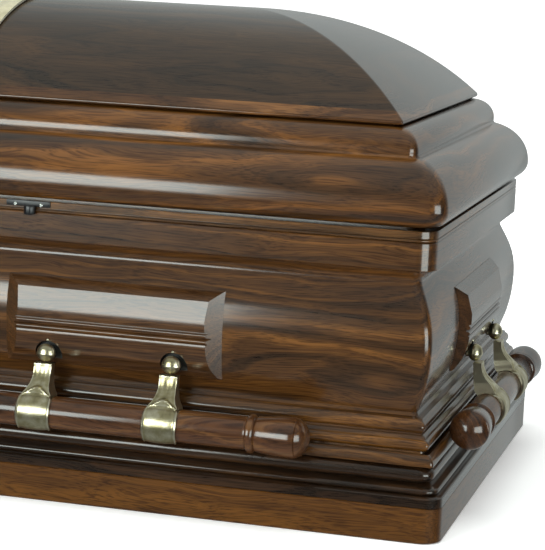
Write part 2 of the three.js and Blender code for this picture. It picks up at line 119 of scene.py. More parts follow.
world = bpy.data.worlds.new("studio")
bpy.context.scene.world = world
world.use_nodes = True
tree = world.node_tree
direction = add_node(tree, "ShaderNodeTexCoord")
towards_back = add_node(
    tree,
    "ShaderNodeVectorMath",
    {"operation": "DOT_PRODUCT"},
    {1: (0.12, 0.99, 0.0)},
    {0: direction.outputs["Generated"]},
)
wall_light = add_node(
    tree,
    "ShaderNodeMapRange",
    {"interpolation_type": "SMOOTHSTEP"},
    {"From Min": 0.5, "From Max": 0.95, "To Min": 0.05, "To Max": 0.52},
    {"Value": towards_back.outputs["Value"]},
)
strength = wall_light.outputs[0]
height = add_node(tree, "ShaderNodeSeparateXYZ", {}, {}, {0: direction.outputs["Generated"]})
for level, fully_at, bright in ((-0.2, -0.75, 0.22), (0.25, 0.95, 0.45)):
    part = add_node(
        tree,
        "ShaderNodeMapRange",
        {"interpolation_type": "SMOOTHSTEP"},
        {"From Min": level, "From Max": fully_at, "To Min": 0.0, "To Max": bright},
        {"Value": height.outputs["Z"]},
    )
    strength = add_node(
        tree, "ShaderNodeMath", {"operation": "ADD"}, {}, {0: strength, 1: part.outputs[0]}
    ).outputs[0]
background = tree.nodes["Background"]
background.inputs["Color"].default_value = linear("#eef6f4")
tree.links.new(strength, background.inputs["Strength"])

# Each soft box: its name, place, what it faces, width, height and power. The lacquer mirrors the
# boxes at the front, and the two fills only lift the shadows.
SOFT_BOXES = (
    ("box_front_left", (-0.5, -2.95, 0.78), (0.4, -0.36, 0.36), 1.7, 1.25, 56),
    ("box_right_mirrored", (3.0, -1.95, 0.42), (1.05, -0.36, 0.3), 1.9, 1.3, 48),
    ("fill_overhead", (0.3, -0.6, 4.2), (0.3, -0.2, 0), 5, 4, 225),
    ("fill_front", (1.2, -4.5, 1.6), (0.3, 0, 0.3), 4, 2, 56),
)
for box_name, place, aim, width, height, power in SOFT_BOXES:
    bpy.ops.object.light_add(type="AREA", location=place)
    lamp = bpy.context.object
    lamp.name = box_name
    lamp.data.shape = "RECTANGLE"
    lamp.data.size = width
    lamp.data.size_y = height
    lamp.data.energy = power
    lamp.data.color = linear("#f4fffb")[:3]
    lamp.visible_glossy = not box_name.startswith("fill")
    lamp.visible_diffuse = not box_name.endswith("mirrored")
    lamp.rotation_euler = (Vector(aim) - Vector(place)).to_track_quat("-Z", "Y").to_euler()


# The plinth is four light walnut boards, mitred at the corners and glued round the bottom board.
# They are rubbed down to a satin lacquer.
MM = 0.001
LENGTH = 2100
WIDTH = 720
PLINTH_HEIGHT = 44
PLINTH_INNER = -30
PLINTH_CORNER = 20
SMOOTH_UNDER = math.radians(28)


def arc(centre, radius, first, last, steps):
    """Points on a round of a profile, in millimetres, its angles in degrees from straight outwards."""
    turn = [math.radians(first + (last - first) * i / steps) for i in range(steps + 1)]
    return [(centre[0] + radius * math.cos(a), centre[1] + radius * math.sin(a)) for a in turn]


def deselect_all():
    bpy.ops.object.select_all(action="DESELECT")


def draw_on(start_size, end_size, rise):
    """Draws the selected outline up by a rise and out or in to its new size."""
    bpy.ops.mesh.extrude_edges_move(TRANSFORM_OT_translate={"value": (0, 0, rise)})
    stretch = [end / start for start, end in zip(start_size, end_size)]
    bpy.ops.transform.resize(value=(*stretch, 1), center_override=(0, 0, 0))


def smooth(piece):
    deselect_all()
    piece.select_set(True)
    bpy.context.view_layer.objects.active = piece
    bpy.ops.object.shade_smooth_by_angle(angle=SMOOTH_UNDER)


def apply_modifiers(piece):
    bpy.context.view_layer.objects.active = piece
    for modifier in list(piece.modifiers):
        bpy.ops.object.modifier_apply(modifier=modifier.name)


def ease_corners(piece, radius_at):
    """Rounds the mitres: every edge that runs across the moulding's length is one of a mitre."""
    mesh = piece.data
    weight = mesh.attributes.new("bevel_weight_edge", "FLOAT", "EDGE")
    widest = 0
    radii = []
    for edge in mesh.edges:
        a, b = [mesh.vertices[i].co for i in edge.vertices]
        run = b - a
        along_wall = (abs(run.x) < 1e-6) != (abs(run.y) < 1e-6)
        middle = (a + b) / 2
        offset = abs(middle.y) / MM - WIDTH / 2
        radius = 0 if along_wall and abs(run.z) < 1e-6 else radius_at(offset, middle.z / MM)
        radii.append(radius)
        widest = max(widest, radius)
    for i, radius in enumerate(radii):
        weight.data[i].value = radius / widest
    bevel = piece.modifiers.new("eased", "BEVEL")
    bevel.limit_method = "WEIGHT"
    bevel.width = widest * MM
    bevel.segments = 5
    bevel.use_clamp_overlap = False
    apply_modifiers(piece)


def run_moulding(name, profile, radius_at):
    """A moulding that runs round the casket: a rectangle drawn on through its profile, mitre by mitre."""
    sizes = [((LENGTH + 2 * o) * MM, max((WIDTH + 2 * o) * MM, 1e-5), z * MM) for o, z in profile]
    deselect_all()
    bpy.ops.mesh.primitive_plane_add(size=1, location=(0, 0, sizes[0][2]))
    piece = bpy.context.object
    piece.name = name
    bpy.ops.object.mode_set(mode="EDIT")
    bpy.ops.transform.resize(value=(sizes[0][0], sizes[0][1], 1), center_override=(0, 0, 0))
    bpy.ops.mesh.delete(type="ONLY_FACE")
    bpy.ops.mesh.select_all(action="SELECT")
    for (x, y, z), (next_x, next_y, next_z) in zip(sizes, sizes[1:]):
        draw_on((x, y), (next_x, next_y), next_z - z)
    bpy.ops.mesh.select_all(action="SELECT")
    bpy.ops.mesh.remove_doubles(threshold=2e-5)
    bpy.ops.mesh.normals_make_consistent(inside=False)
    bpy.ops.object.mode_set(mode="OBJECT")
    deselect_all()
    piece.select_set(True)
    bpy.context.view_layer.objects.active = piece
    bpy.ops.object.transform_apply(location=True, rotation=True, scale=True)
    ease_corners(piece, radius_at)
    return piece


def lacquered_walnut(name, along, hexes, ring_mm, heart, roughness=0.36, coat=1.0, figure=1.0):
    """American walnut under clear lacquer. The heart of the log lies behind the board: heart gives how
    far, and how high. Its rings wander as they run along, so that the board shows them as arches and
    drawn-out bands over broad dark patches, with fine dark pores. The lacquer lies smooth over it all
    and mirrors the lights."""
    dark, middle, pale = hexes
    behind, height = heart
    face = WIDTH / 2 if along == "x" else LENGTH / 2
    material, tree, output = blank_material(f"{name}_{along}")
    place = add_node(tree, "ShaderNodeTexCoord")
    axes = add_node(tree, "ShaderNodeSeparateXYZ", {}, {}, {0: place.outputs["Object"]})
    run, depth = ("X", "Y") if along == "x" else ("Y", "X")
    inwards = add_node(tree, "ShaderNodeMath", {"operation": "ABSOLUTE"}, {}, {0: axes.outputs[depth]})
    turned = add_node(
        tree,
        "ShaderNodeCombineXYZ",
        {},
        {},
        {"X": axes.outputs[run], "Y": inwards.outputs[0], "Z": axes.outputs["Z"]},
    )
    board = add_node(
        tree,
        "ShaderNodeMapping",
        {},
        {"Location": (height * 0.011, -(face - behind) * MM, -height * MM)},
        {"Vector": turned.outputs[0]},
    )
    stretched = add_node(
        tree, "ShaderNodeMapping", {}, {"Scale": (0.24, 1, 1)}, {"Vector": board.outputs[0]}
    )
    wander_mm = 130
    wander = add_node(
        tree,
        "ShaderNodeTexNoise",
        {},
        {"Scale": 1 / (wander_mm * MM), "Detail": 3, "Roughness": 0.5},
        {"Vector": stretched.outputs[0]},
    )
    sway_mm = 90 * figure
    swayed = add_node(
        tree,
        "ShaderNodeVectorMath",
        {"operation": "MULTIPLY_ADD"},
        {1: (0, sway_mm * MM, sway_mm * MM)},
        {0: wander.outputs["Color"], 2: board.outputs[0]},
    )
    across = add_node(
        tree,
        "ShaderNodeVectorMath",
        {"operation": "MULTIPLY"},
        {1: (0, 1, 1)},
        {0: swayed.outputs[0]},
    )
    from_heart = add_node(
        tree, "ShaderNodeVectorMath", {"operation": "LENGTH"}, {}, {0: across.outputs[0]}
    )
    rings = add_node(
        tree,
        "ShaderNodeTexNoise",
        {"noise_dimensions": "1D"},
        {"Scale": 1 / (ring_mm * MM), "Detail": 5, "Roughness": 0.6},
        {"W": from_heart.outputs["Value"]},
    )
    patch_mm = 75
    patches = add_node(
        tree,
        "ShaderNodeTexNoise",
        {},
        {"Scale": 1 / (patch_mm * MM), "Detail": 4, "Roughness": 0.6, "Distortion": 0.25},
        {"Vector": stretched.outputs[0]},
    )
    tone = add_node(
        tree,
        "ShaderNodeMix",
        {"data_type": "FLOAT"},
        {0: 0.42},
        {2: rings.outputs["Fac"], 3: patches.outputs["Fac"]},
    )
    colours = add_node(tree, "ShaderNodeValToRGB", {}, {}, {"Fac": tone.outputs[0]})
    stops = colours.color_ramp.elements
    stops[0].position, stops[0].color = 0.33, linear(dark)
    stops[1].position, stops[1].color = 0.7, linear(pale)
    middle_stop = stops.new(0.5)
    middle_stop.color = linear(middle)
    pore_mm = 1.5
    drawn_out = add_node(
        tree, "ShaderNodeMapping", {}, {"Scale": (0.022, 1, 1)}, {"Vector": swayed.outputs[0]}
    )
    pores = add_node(
        tree,
        "ShaderNodeTexNoise",
        {},
        {"Scale": 1 / (pore_mm * MM), "Detail": 2, "Roughness": 0.6},
        {"Vector": drawn_out.outputs[0]},
    )
    strokes = add_node(tree, "ShaderNodeValToRGB", {}, {}, {"Fac": pores.outputs["Fac"]})
    strokes.color_ramp.elements[0].position = 0.36
    strokes.color_ramp.elements[0].color = linear("#b3aaa2")
    strokes.color_ramp.elements[1].position = 0.55
    strokes.color_ramp.elements[1].color = linear("#ffffff")
    stained = add_node(
        tree,
        "ShaderNodeMix",
        {"data_type": "RGBA", "blend_type": "MULTIPLY"},
        {0: 1.0},
        {6: colours.outputs[0], 7: strokes.outputs[0]},
    )
    surface = add_node(
        tree,
        "ShaderNodeBsdfPrincipled",
        {},
        {
            "Roughness": roughness,
            "IOR": 1.5,
            "Specular IOR Level": 0.12,
            "Coat Weight": coat,
            "Coat IOR": 1.55,
            "Coat Roughness": 0.15,
        },
        {"Base Color": stained.outputs[2]},
    )
    relief = add_node(
        tree,
        "ShaderNodeBump",
        {},
        {"Strength": 0.1, "Distance": 0.0003},
        {"Height": pores.outputs["Fac"]},
    )
    tree.links.new(relief.outputs[0], surface.inputs["Normal"])
    tree.links.new(surface.outputs[0], output.inputs["Surface"])
    return material


def grain_with_walls(piece, material_name, **look):
    """Gives the long walls grain along the casket, and the end walls grain across it."""
    for along in ("x", "y"):
        material = bpy.data.materials.get(f"{material_name}_{along}")
        piece.data.materials.append(material or lacquered_walnut(material_name, along, **look))
    for face in piece.data.polygons:
        face.material_index = 1 if abs(face.normal.x) > abs(face.normal.y) + 1e-4 else 0


def place_piece(piece, body, slot, *nodes):
    """A finished piece rides on its body and stands for its plain solids."""
    smooth(piece)
    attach(piece, body)
    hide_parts(*nodes)


PLINTH_LOOK = {
    "hexes": ("#43270a", "#56330c", "#673f10"),
    "ring_mm": 14,
    "heart": (60, 20),
    "roughness": 0.42,
    "coat": 0.8,
}
plinth = run_moulding(
    "plinth_boards",
    [
        (PLINTH_INNER, 0),
        (-1.5, 0),
        (0, 1.5),
        (0, PLINTH_HEIGHT - 1),
        (-1, PLINTH_HEIGHT),
        (PLINTH_INNER, PLINTH_HEIGHT),
        (PLINTH_INNER, 0),
    ],
    lambda offset, height: PLINTH_CORNER if offset > PLINTH_INNER + 1 else 0,
)
grain_with_walls(plinth, "satin_plinth_walnut", **PLINTH_LOOK)
place_piece(plinth, "casket", "plinth_wood", "plinth")


# The base moulding is one dark run of walnut on the plinth: a flat strip, a small bead, a cove and a
# full torus. It is shaped on a spindle moulder and hides the joint with the body.
BASE_LOOK = {"hexes": ("#1a1008", "#2f1d0f", "#4b3017"), "ring_mm": 9, "heart": (90, 30)}
BASE_BOTTOM = PLINTH_HEIGHT + 0.3
BASE_TOP = 91.7
STRIP_TOP = 58
STRIP_CORNER = 18
TORUS_CORNER = 15
base = run_moulding(
    "base_moulding_run",
    [
        (PLINTH_INNER, BASE_BOTTOM),
        (0, BASE_BOTTOM),
        (0, 55.5),
        (-1.5, 57),
        (-4.5, 58),
        *arc((-10, 62.3), 4.3, -70, 80, 8),
        (-11.5, 67.6),
        (-14.5, 68.6),
        *arc((-24, 80), 11, -62, 90, 14),
        (-27, BASE_TOP),
        (PLINTH_INNER, BASE_TOP),
        (PLINTH_INNER, BASE_BOTTOM),
    ],
    lambda offset, height: (
        0 if offset < PLINTH_INNER + 1 else STRIP_CORNER if height < STRIP_TOP else TORUS_CORNER
    ),
)
grain_with_walls(base, "base_walnut", **BASE_LOOK)
place_piece(base, "casket", "walnut_base", "base_moulding")


# The body is four thick boards glued up and moulded after: stepped rounds at the foot, a waist, a
# long bulge, a neck, and a flat frieze. Its mitres are eased by hand, more on the bulge and frieze.
BODY_LOOK = {"hexes": ("#22150a", "#452a10", "#6c4419"), "ring_mm": 9, "heart": (95, 215)}
INNER_WALL = -64
BODY_BOTTOM = 18.3
BODY_SEAT = 92
STEPS_TOP = 152
BULGE_TOP = 318
FRIEZE = -29
FRIEZE_TOP = 361
STEP_CORNER = 4
BULGE_CORNER = 11
FRIEZE_CORNER = 22
BULGE = [
    (-42.3, 151.6),
    (-39.6, 159),
    (-36.2, 168),
    (-33, 178),
    (-30.3, 190),
    (-28.2, 203),
    (-26.9, 217),
    (-26.3, 231),
    (-26.7, 244),
    (-28.1, 256),
    (-30.6, 267),
    (-33.9, 277),
    (-37.8, 286.5),
    (-41.8, 295),
    (-45.2, 302),
    (-47.2, 306.5),
]
body = run_moulding(
    "body_walls",
    [
        (INNER_WALL, BODY_BOTTOM),
        (PLINTH_INNER - 0.3, BODY_BOTTOM),
        (PLINTH_INNER - 0.3, BODY_SEAT),
        (-13.5, BODY_SEAT),
        *arc((-27, 94), 13.6, -2, 60, 6),
        (-24.5, 104.2),
        (-28.6, 104.8),
        (-29, 107),
        *arc((-29, 115), 7.6, -72, 70, 9),
        (-28, 125),
        (-31, 127.2),
        (-31.6, 129),
        *arc((-37, 136), 8.2, -56, 60, 7),
        (-34, 145.5),
        (-40.5, 147.6),
        *BULGE,
        (-47.8, 310),
        (-46.6, 314),
        (-43.4, BULGE_TOP),
        (-38.6, 321.8),
        (-33.6, 324.4),
        (-30.2, 325.6),
        (FRIEZE, 327),
        (FRIEZE, FRIEZE_TOP - 1.5),
        (FRIEZE - 1.2, FRIEZE_TOP),
        (INNER_WALL, FRIEZE_TOP),
        (INNER_WALL, BODY_BOTTOM),
    ],
    lambda offset, height: (
        0
        if offset < INNER_WALL + 2 or height < BODY_SEAT - 1
        else STEP_CORNER if height < STEPS_TOP else BULGE_CORNER if height < BULGE_TOP else FRIEZE_CORNER
    ),
)
grain_with_walls(body, "body_walnut", **BODY_LOOK)
place_piece(body, "casket", "walnut_body", "body_shell")


# The rim rail is a lighter walnut strip glued on the frieze, with a fine bead under it. The lids close
# on it, and its inner edge stands up as a tongue that keeps the dust out.
RIM_LOOK = {"hexes": ("#3a2510", "#563818", "#734b22"), "ring_mm": 8, "heart": (80, 330)}
RIM_BOTTOM = 361.3
RIM_TOP = 374.5
TONGUE = -48
TONGUE_TOP = 377.2
rim = run_moulding(
    "rim_strip",
    [
        (INNER_WALL, RIM_BOTTOM),
        (FRIEZE - 1.5, RIM_BOTTOM),
        *arc((FRIEZE - 1.2, RIM_BOTTOM + 1.7), 1.7, -80, 80, 5),
        (FRIEZE - 1.2, RIM_BOTTOM + 4),
        (FRIEZE + 0.2, RIM_BOTTOM + 4.6),
        (FRIEZE + 0.2, RIM_TOP - 0.6),
        (FRIEZE - 0.3, RIM_TOP),
        (TONGUE, RIM_TOP),
        (TONGUE, TONGUE_TOP),
        (INNER_WALL, TONGUE_TOP),
        (INNER_WALL, RIM_BOTTOM),
    ],
    lambda offset, height: FRIEZE_CORNER if offset > TONGUE + 2 else 0,
)
grain_with_walls(rim, "rim_walnut", **RIM_LOOK)
place_piece(rim, "casket", "walnut_body", "rim_rail")


# Each lid is a moulded frame of three mitred sides under a domed panel. The frame is a big torus
# below a second, smaller round, turned over onto the panel. The lids part at mid length.
LID_LOOK = {"hexes": ("#24160a", "#422810", "#6b4218"), "ring_mm": 10, "heart": (130, 420)}
CROWN_LOOK = {
    "hexes": ("#1a120a", "#2f1f10", "#452d15"),
    "ring_mm": 12,
    "heart": (190, 500),
    "figure": 1.3,
}
CROWN_EDGING_LOOK = {"hexes": ("#281709", "#452a13", "#6a4420"), "ring_mm": 9, "heart": (120, 455)}
CROWN_EDGING_TOP = 510
LID_BOTTOM = 377.5
LID_HOLLOW = 440
LID_TORUS_TOP = 459
LID_TORUS_CORNER = 19
LID_ROUND_CORNER = 10
SPLIT = 1.2
CROWN_EDGE = -88
CROWN_EDGE_HEIGHT = 499.5
CROWN_APEX = 615.5
CROWN_STEPS = 28
CROWN_THICKNESS = 14
CROWN_HIP = 2.5
EDGE_ROUND = 3
EDGE_THICKNESS = 0.12
crown_half = WIDTH / 2 + CROWN_EDGE
crown_rise = CROWN_APEX - CROWN_EDGE_HEIGHT
crown_radius = (crown_half**2 + crown_rise**2) / (2 * crown_rise)
crown_centre = CROWN_APEX - crown_radius


def cut_at_split(piece, side):
    """Saws off what lies past mid length. The side is 1 for the foot lid and -1 for the head lid."""
    deselect_all()
    piece.select_set(True)
    bpy.context.view_layer.objects.active = piece
    bpy.ops.object.mode_set(mode="EDIT")
    bpy.ops.mesh.select_all(action="SELECT")
    bpy.ops.mesh.bisect(
        plane_co=(side * SPLIT * MM, 0, 0),
        plane_no=(side, 0, 0),
        clear_inner=True,
        use_fill=True,
    )
    bpy.ops.object.mode_set(mode="OBJECT")


def crown_level(half_width):
    return crown_centre + math.sqrt(crown_radius**2 - half_width**2)


lid_profile = [
    (INNER_WALL, LID_BOTTOM),
    *arc((-38, LID_BOTTOM + 22), 22, -90, 0, 12),
    *arc((-76, LID_BOTTOM + 22), 60, 6, 76.5, 16),
    (-63.5, 459.5),
    *arc((-93, 463.5), 29, -6, 88, 16),
    (-96, 493.2),
    (-98, 494.2),
    (-112, 494.2),
    (-112, 478),
    (-66, 438),
    (INNER_WALL, 434),
    (INNER_WALL, LID_BOTTOM),
]
crown_profile = [
    *arc((CROWN_EDGE - EDGE_ROUND, 497.5), EDGE_ROUND, -90, 30, 9),
    *[
        (crown_half * math.cos(step) - WIDTH / 2, crown_level(crown_half * math.cos(step)))
        for step in [math.pi / 2 * i / CROWN_STEPS for i in range(CROWN_STEPS)]
    ],
    (-WIDTH / 2, CROWN_APEX),
]
for lid, side in (("foot", 1), ("head", -1)):
    frame_run = run_moulding(
        f"{lid}_lid_frame",
        lid_profile,
        lambda offset, height: (
            0
            if offset < -97 or (offset < -50 and height < LID_HOLLOW)
            else LID_TORUS_CORNER if height < LID_TORUS_TOP else LID_ROUND_CORNER
        ),
    )
    cut_at_split(frame_run, side)
    grain_with_walls(frame_run, "lid_walnut", **LID_LOOK)
    place_piece(frame_run, f"{lid}_lid", "walnut_lid", f"{lid}_lid_rail")

    panel = run_moulding(f"{lid}_lid_panel", crown_profile, lambda offset, height: CROWN_HIP)
    cut_at_split(panel, side)
    thick = panel.vertex_groups.new(name="thick")
    for vertex in panel.data.vertices:
        from_edge = min(1, max(0, (vertex.co.z / MM - 498) / 14))
        share = EDGE_THICKNESS + (1 - EDGE_THICKNESS) * from_edge
        thick.add([vertex.index], share, "REPLACE")
    wall = panel.modifiers.new("panel_thickness", "SOLIDIFY")
    wall.thickness = CROWN_THICKNESS * MM
    wall.offset = -1
    wall.vertex_group = "thick"
    apply_modifiers(panel)
    panel.vertex_groups.clear()
    grain_with_walls(panel, "crown_walnut", **CROWN_LOOK)
    for along in ("x", "y"):
        edging = bpy.data.materials.get(f"crown_edging_walnut_{along}")
        panel.data.materials.append(
            edging or lacquered_walnut("crown_edging_walnut", along, **CROWN_EDGING_LOOK)
        )
    for face in panel.data.polygons:
        if face.center.z < CROWN_EDGING_TOP * MM:
            face.material_index += 2
    place_piece(panel, f"{lid}_lid", "walnut_lid", f"{lid}_lid_crown")


# The boards that close the lids at mid length, and the bottom board, are plain poplar. They are
# sanded and left bare, as inside surfaces are.
def bare_poplar(name, along):
    """Sanded poplar: pale, with a faint straight grain and no lacquer, so that it stays dull."""
    material, tree, output = blank_material(name)
    place = add_node(tree, "ShaderNodeTexCoord")
    drawn_out = add_node(
        tree,
        "ShaderNodeMapping",
        {},
        {"Scale": (0.06, 1, 1) if along == "x" else (1, 0.06, 1)},
        {"Vector": place.outputs["Object"]},
    )
    grain_mm = 5
    grain = add_node(
        tree,
        "ShaderNodeTexNoise",
        {},
        {"Scale": 1 / (grain_mm * MM), "Detail": 5, "Roughness": 0.6},
        {"Vector": drawn_out.outputs[0]},
    )
    tint = add_node(tree, "ShaderNodeValToRGB", {}, {}, {"Fac": grain.outputs["Fac"]})
    tint.color_ramp.elements[0].position = 0.3
    tint.color_ramp.elements[0].color = linear("#7d5f3c")
    tint.color_ramp.elements[1].position = 0.7
    tint.color_ramp.elements[1].color = linear("#a98a60")
    fibres = add_node(
        tree,
        "ShaderNodeBump",
        {},
        {"Strength": 0.25, "Distance": 0.0004},
        {"Height": grain.outputs["Fac"]},
    )
    surface = add_node(
        tree,
        "ShaderNodeBsdfPrincipled",
        {},
        {"Roughness": 0.62},
        {"Base Color": tint.outputs[0], "Normal": fibres.outputs[0]},
    )
    tree.links.new(surface.outputs[0], output.inputs["Surface"])
    return material


def finish_node(name, material):
    """Gives a solid that is shown as it is its finish."""
    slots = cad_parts[name].data.materials
    slots.clear()
    slots.append(material)


finish_node("bottom_board", bare_poplar("bare_poplar_long", "x"))
header_wood = bare_poplar("bare_poplar_cross", "y")
for lid in ("foot", "head"):
    finish_node(f"{lid}_lid_header", header_wood)


# The applied blocks carry the handles: short lengths of moulded walnut, glued and screwed from
# inside, with sloped ends and two round recesses for the lugs. The recesses are coloured near black
# inside: partly the black washer round each lug, partly painted shade.
BLOCK_LOOK = {"hexes": ("#281a0c", "#422914", "#5e3c1c"), "ring_mm": 8, "heart": (110, 190)}
BLOCK_LENGTH = 283
BLOCK_SPACING = 622
BLOCK_BEVEL = 1.5
ARM_SPACING = 164
RECESS_RADIUS = 17.5
RECESS_FLOOR = 26
PIVOT_HEIGHT = 183
TOUCH = 0.3
BLOCK_FACE = [
    (-34.3, 170.5),
    (-31.5, 171.5),
    (-26.5, 178),
    (-22.2, 185),
    (-19, 193),
    (-16.8, 201),
    (-15.4, 208),
    (-14.8, 213.5),
    (-15.2, 214.6),
    (-16.4, 215.2),
    *arc((-17, 218.3), 2.6, -60, 60, 5),
    (-18.4, 222),
    (-18.2, 223.2),
    *arc((-16.6, 226.2), 2.6, -60, 60, 5),
    (-15.8, 229.6),
    (-13.4, 230.6),
    (-13.2, 232),
    (-13.2, 244),
    (-13.3, 244.4),
    (-19.3, 268.1),
    (-19.4, 268.5),
    (-20.4, 269.6),
    (-33.2, 279.7),
    (-34.6, 280.5),
]


def wall_offset(height):
    """How far out the bulged wall stands at a height."""
    for (offset, low), (next_offset, high) in zip(BULGE, BULGE[1:]):
        if low <= height <= high:
            return offset + (next_offset - offset) * (height - low) / (high - low)
    return BULGE[0][0] if height < BULGE[0][1] else BULGE[-1][0]


def draw_run(name, outline, half_length_at, cuts=0):
    """A straight length of a section, made along X with its outward side towards -Y: an edge drawn on
    through the section's offsets and heights, as long at each as half_length_at says."""
    rows = [(-o * MM, z * MM, half_length_at(o, z) * MM) for o, z in outline]
    deselect_all()
    bpy.ops.mesh.primitive_plane_add(size=1)
    piece = bpy.context.object
    piece.name = name
    mesh = piece.data
    for face in mesh.polygons:
        face.select = False
    for edge in mesh.edges:
        edge.select = False
    for vertex in mesh.vertices:
        vertex.select = vertex.co.y > 0
    bpy.ops.object.mode_set(mode="EDIT")
    bpy.ops.mesh.delete(type="VERT")
    bpy.ops.mesh.select_all(action="SELECT")
    y, z, half = rows[0]
    bpy.ops.transform.resize(value=(2 * half, 1, 1), center_override=(0, 0, 0))
    bpy.ops.transform.translate(value=(0, y + 0.5, z))
    if cuts:
        bpy.ops.mesh.subdivide(number_cuts=cuts)
    for (y, z, half), (next_y, next_z, next_half) in zip(rows, rows[1:]):
        bpy.ops.mesh.extrude_edges_move(
            TRANSFORM_OT_translate={"value": (0, next_y - y, next_z - z)}
        )
        bpy.ops.transform.resize(value=(next_half / half, 1, 1), center_override=(0, 0, 0))
    bpy.ops.mesh.select_all(action="SELECT")
    bpy.ops.mesh.remove_doubles(threshold=2e-5)
    bpy.ops.object.mode_set(mode="OBJECT")
    return piece


def close_ends(piece):
    deselect_all()
    piece.select_set(True)
    bpy.context.view_layer.objects.active = piece
    bpy.ops.object.mode_set(mode="EDIT")
    bpy.ops.mesh.select_all(action="SELECT")
    bpy.ops.mesh.fill_holes(sides=0)
    bpy.ops.mesh.normals_make_consistent(inside=False)
    bpy.ops.object.mode_set(mode="OBJECT")


def cut_away(piece, cutter):
    deselect_all()
    cut = piece.modifiers.new("cut", "BOOLEAN")
    cut.operation = "DIFFERENCE"
    cut.solver = "EXACT"
    cut.object = cutter
    apply_modifiers(piece)
    bpy.data.objects.remove(cutter)


back_rows = [height for _, height in BULGE if BLOCK_FACE[0][1] < height < BLOCK_FACE[-1][1]]
back_rows = [BLOCK_FACE[0][1], *back_rows, BLOCK_FACE[-1][1]]
block_outline = [
    *BLOCK_FACE,
    *[(wall_offset(height) + TOUCH, height) for height in reversed(back_rows)],
    BLOCK_FACE[0],
]
block = draw_run(
    "block",
    block_outline,
    lambda offset, height: (
        BLOCK_LENGTH / 2 - BLOCK_BEVEL * max(0, offset - wall_offset(height) - TOUCH)
    ),
)
close_ends(block)
for x in (-ARM_SPACING / 2, ARM_SPACING / 2):
    deselect_all()
    bpy.ops.mesh.primitive_cylinder_add(
        vertices=48,
        radius=RECESS_RADIUS * MM,
        depth=2 * RECESS_FLOOR * MM,
        location=(x * MM, 0, (PIVOT_HEIGHT + 1) * MM),
        rotation=(math.pi / 2, 0, 0),
    )
    cut_away(block, bpy.context.object)
# The near-black lining of the recesses: partly a black washer, partly painted shade where the recess lies
# in shadow.
recess_black_and_painted_shade, tree, output = blank_material("recess_black_and_painted_shade")
recess_shade_bsdf = add_node(
    tree, "ShaderNodeBsdfPrincipled", {}, {"Base Color": linear("#0a0908"), "Roughness": 0.5}
)
tree.links.new(recess_shade_bsdf.outputs[0], output.inputs["Surface"])


def in_recess(centre):
    """Whether a face of a block is on the floor or the round wall of one of its recesses."""
    if abs(centre.y / MM - RECESS_FLOOR) < 0.1:
        return True
    for x in (-ARM_SPACING / 2, ARM_SPACING / 2):
        reach = math.hypot(centre.x / MM - x, centre.z / MM - PIVOT_HEIGHT - 1)
        if abs(reach - RECESS_RADIUS) < 0.6:
            return True
    return False


# The faces painted near black: the floor and round wall of each recess, as painted shade with the washer.
recess_faces = [
    in_recess(face.center) and (abs(face.normal.y) < 0.2 or abs(face.normal.y) > 0.98)
    for face in block.data.polygons
]

# The four sides that carry a handle: the casket's side, the turn that brings a piece made along X
# to it, how far out its plinth face stands, and where its blocks are.
SIDES = (
    ("front", 0, WIDTH / 2, (-BLOCK_SPACING, 0, BLOCK_SPACING)),
    ("back", math.pi, WIDTH / 2, (-BLOCK_SPACING, 0, BLOCK_SPACING)),
    ("foot_end", math.pi / 2, LENGTH / 2, (0,)),
    ("head_end", -math.pi / 2, LENGTH / 2, (0,)),
)


def carry_copy(pattern, name, turn, reach, x):
    """A copy of a pattern piece with its own mesh, carried along its side and round to it."""
    copy = pattern.copy()
    copy.data = pattern.data.copy()
    copy.name = name
    bpy.context.scene.collection.objects.link(copy)
    out = Matrix.Translation((0, -reach * MM, 0))
    copy.data.transform(Matrix.Rotation(turn, 4, "Z") @ out @ Matrix.Translation((x * MM, 0, 0)))
    return copy


def arm_places(blocks):
    return [x + half for x in blocks for half in (-ARM_SPACING / 2, ARM_SPACING / 2)]


for side_name, turn, reach, blocks in SIDES:
    along = "x" if reach == WIDTH / 2 else "y"
    for i, x in enumerate(blocks):
        label = f"{side_name}_block_{i + 1}" if len(blocks) > 1 else f"{side_name}_block"
        copy = carry_copy(block, f"{label}_moulded", turn, reach, x)
        found = bpy.data.materials.get(f"block_walnut_{along}")
        copy.data.materials.append(found or lacquered_walnut("block_walnut", along, **BLOCK_LOOK))
        copy.data.materials.append(recess_black_and_painted_shade)
        for face, black in zip(copy.data.polygons, recess_faces):
            face.material_index = 1 if black else 0
        place_piece(copy, "casket", "walnut_body", label)
bpy.data.objects.remove(block)


